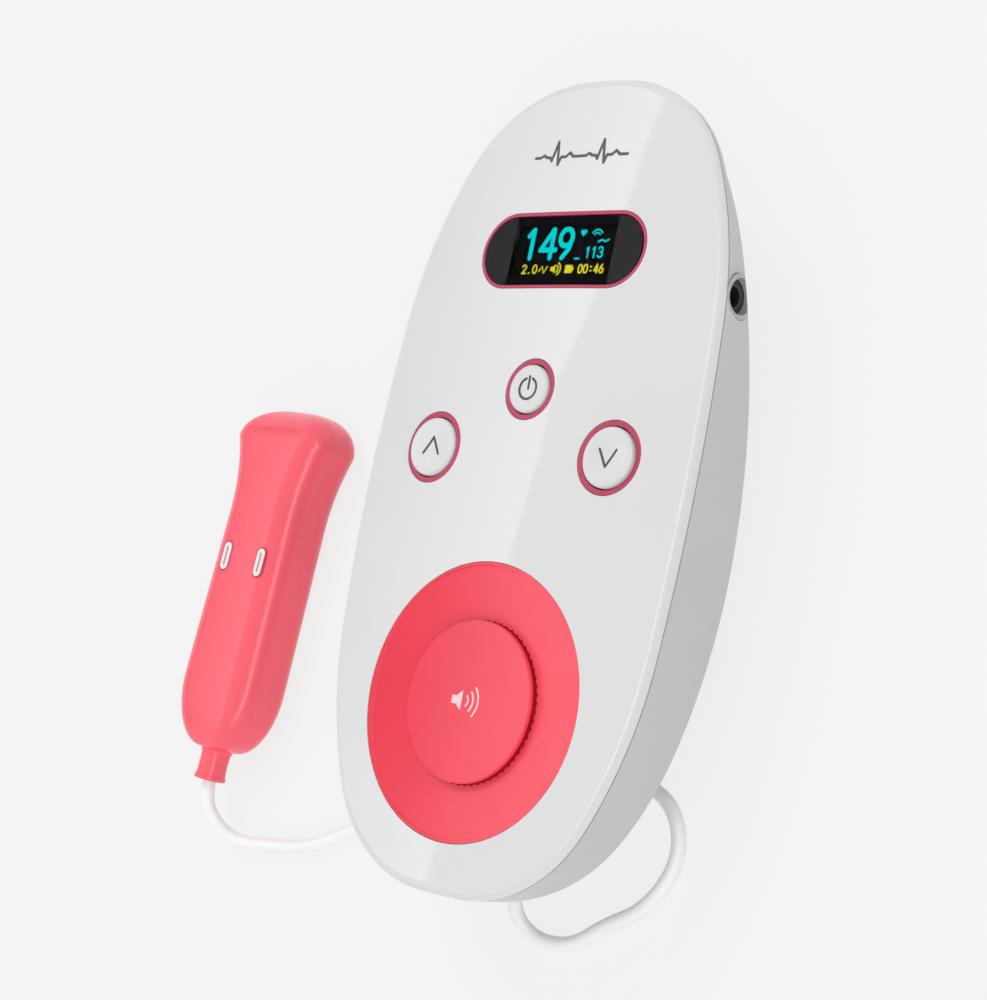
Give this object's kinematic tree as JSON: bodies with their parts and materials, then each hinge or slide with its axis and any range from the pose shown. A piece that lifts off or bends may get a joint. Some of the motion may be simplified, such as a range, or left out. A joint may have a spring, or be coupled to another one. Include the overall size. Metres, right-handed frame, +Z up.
{
  "type": "fetal doppler monitor",
  "caption": "Hand-held heartbeat monitor: oval hull-backed unit with a pill-shaped screen, round keys and a dished speaker outlet, and a flared probe on a thin cord.",
  "frame": {"origin": "centre of the flat land on the back that the unit rests on, at table height", "axes": "+X to the headphone socket's side, +Y along the unit to the screen end, +Z up out of the face"},
  "size_m": [0.1372, 0.1561, 0.0319],
  "materials": {
    "shell_white": "polished moulding",
    "back_white": "satin moulding",
    "trim_pink": "polished moulding",
    "dish_pink": "satin moulding",
    "probe_pink": "polished moulding",
    "key_white": "polished moulding",
    "smoked_lens": "polished smoked acrylic",
    "panel_black": "display module",
    "inner_black": "fine texture",
    "board_green": "solder mask",
    "screw_steel": "zinc plated",
    "contact_nickel": "nickel plated",
    "cell_jacket": "printed sleeve, bare",
    "foam_black": "foam",
    "cone_paper": "coated paper",
    "cord_white": "soft vinyl",
    "collar_grey": "moulded",
    "relief_pink": "soft moulding",
    "ceramic": "silvered ceramic",
    "backing_resin": "cast resin"
  },
  "bodies": {
    "unit": {"front_cover": "shell_white", "rear_cover": "back_white", "case_screws": "screw_steel", "window_trim": "trim_pink", "display_window": "smoked_lens", "display_panel": "panel_black", "display_holder": "inner_black", "power_ring": "trim_pink", "up_ring": "trim_pink", "down_ring": "trim_pink", "power_switch": "inner_black", "up_switch": "inner_black", "down_switch": "inner_black", "main_board": "board_green", "board_screws": "screw_steel", "controller_chip": "inner_black", "amplifier_chip": "inner_black", "socket_collar": "collar_grey", "headphone_socket": "inner_black", "speaker_dish": "dish_pink", "speaker_cap": "dish_pink", "speaker_gasket": "foam_black", "speaker_frame": "screw_steel", "speaker_cone": "cone_paper", "speaker_magnet": "contact_nickel", "battery_left": "cell_jacket", "battery_right": "cell_jacket", "battery_contacts": "contact_nickel", "battery_spring_left": "contact_nickel", "battery_spring_right": "contact_nickel", "cord_gland": "back_white", "cord": "cord_white"},
    "power_key": {"power_button": "key_white"},
    "up_key": {"up_button": "key_white"},
    "down_key": {"down_button": "key_white"},
    "door": {"battery_door": "back_white"},
    "probe": {"probe_upper_shell": "probe_pink", "probe_lower_shell": "probe_pink", "sound_window": "probe_pink", "transmit_crystal": "ceramic", "receive_crystal": "ceramic", "backing_block": "backing_resin", "probe_board": "board_green", "left_insert": "key_white", "right_insert": "key_white", "probe_relief": "relief_pink"}
  },
  "joints": [
    {"name": "power_press", "type": "slide", "parent": "unit", "child": "power_key", "axis": [0, 0, -1], "range_m": [0, 0.0009], "stiffness_N_per_m": 400, "springref_m": -0.0008},
    {"name": "up_press", "type": "slide", "parent": "unit", "child": "up_key", "axis": [0, 0, -1], "range_m": [0, 0.0009], "stiffness_N_per_m": 400, "springref_m": -0.0008},
    {"name": "down_press", "type": "slide", "parent": "unit", "child": "down_key", "axis": [0, 0, -1], "range_m": [0, 0.0009], "stiffness_N_per_m": 400, "springref_m": -0.0008},
    {"name": "door_hinge", "type": "hinge", "parent": "unit", "child": "door", "pos_m": [0, -0.0256, 0.00182], "axis": [-1, 0, 0], "range_deg": [0, 60]},
    {"name": "probe_lift", "type": "slide", "parent": "unit", "child": "probe", "axis": [0, 0, 1], "range_m": [0, 0.04]}
  ]
}
